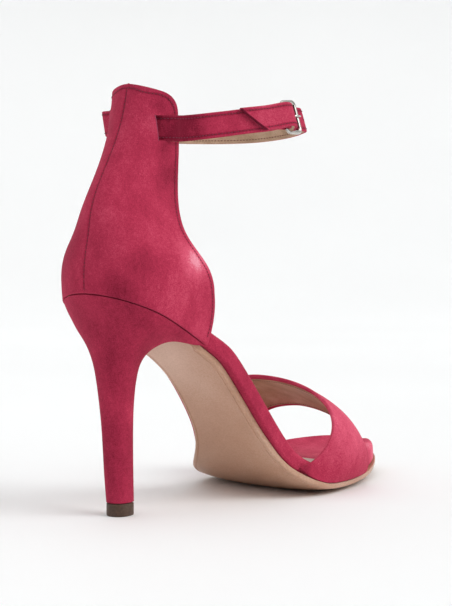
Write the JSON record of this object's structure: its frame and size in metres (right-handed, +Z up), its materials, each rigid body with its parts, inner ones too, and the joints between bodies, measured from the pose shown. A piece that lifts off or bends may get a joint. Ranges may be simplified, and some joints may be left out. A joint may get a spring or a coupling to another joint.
{
  "type": "stiletto sandal",
  "caption": "Open-toe stiletto sandal with a suede toe band, high closed heel counter, buckled ankle strap, covered slim heel and leather sole.",
  "frame": {"origin": "middle of the bounding box, on the floor", "axes": "+Y to the toe, +X to the outer (lateral) side of the right foot, +Z up"},
  "size_m": [0.0966, 0.222, 0.1955],
  "materials": {
    "suede": "brushed raspberry-pink suede",
    "sole_leather": "smooth tan sole leather",
    "tip_plastic": "dark brown moulded plastic",
    "nickel": "polished nickel plate"
  },
  "bodies": {
    "root": {"outsole": "sole_leather", "insole": "suede", "heel": "suede", "heel_tip": "tip_plastic", "counter": "suede", "toe_band": "suede", "ankle_strap": "suede", "buckle_frame": "nickel", "buckle_prong": "nickel"}
  },
  "joints": []
}
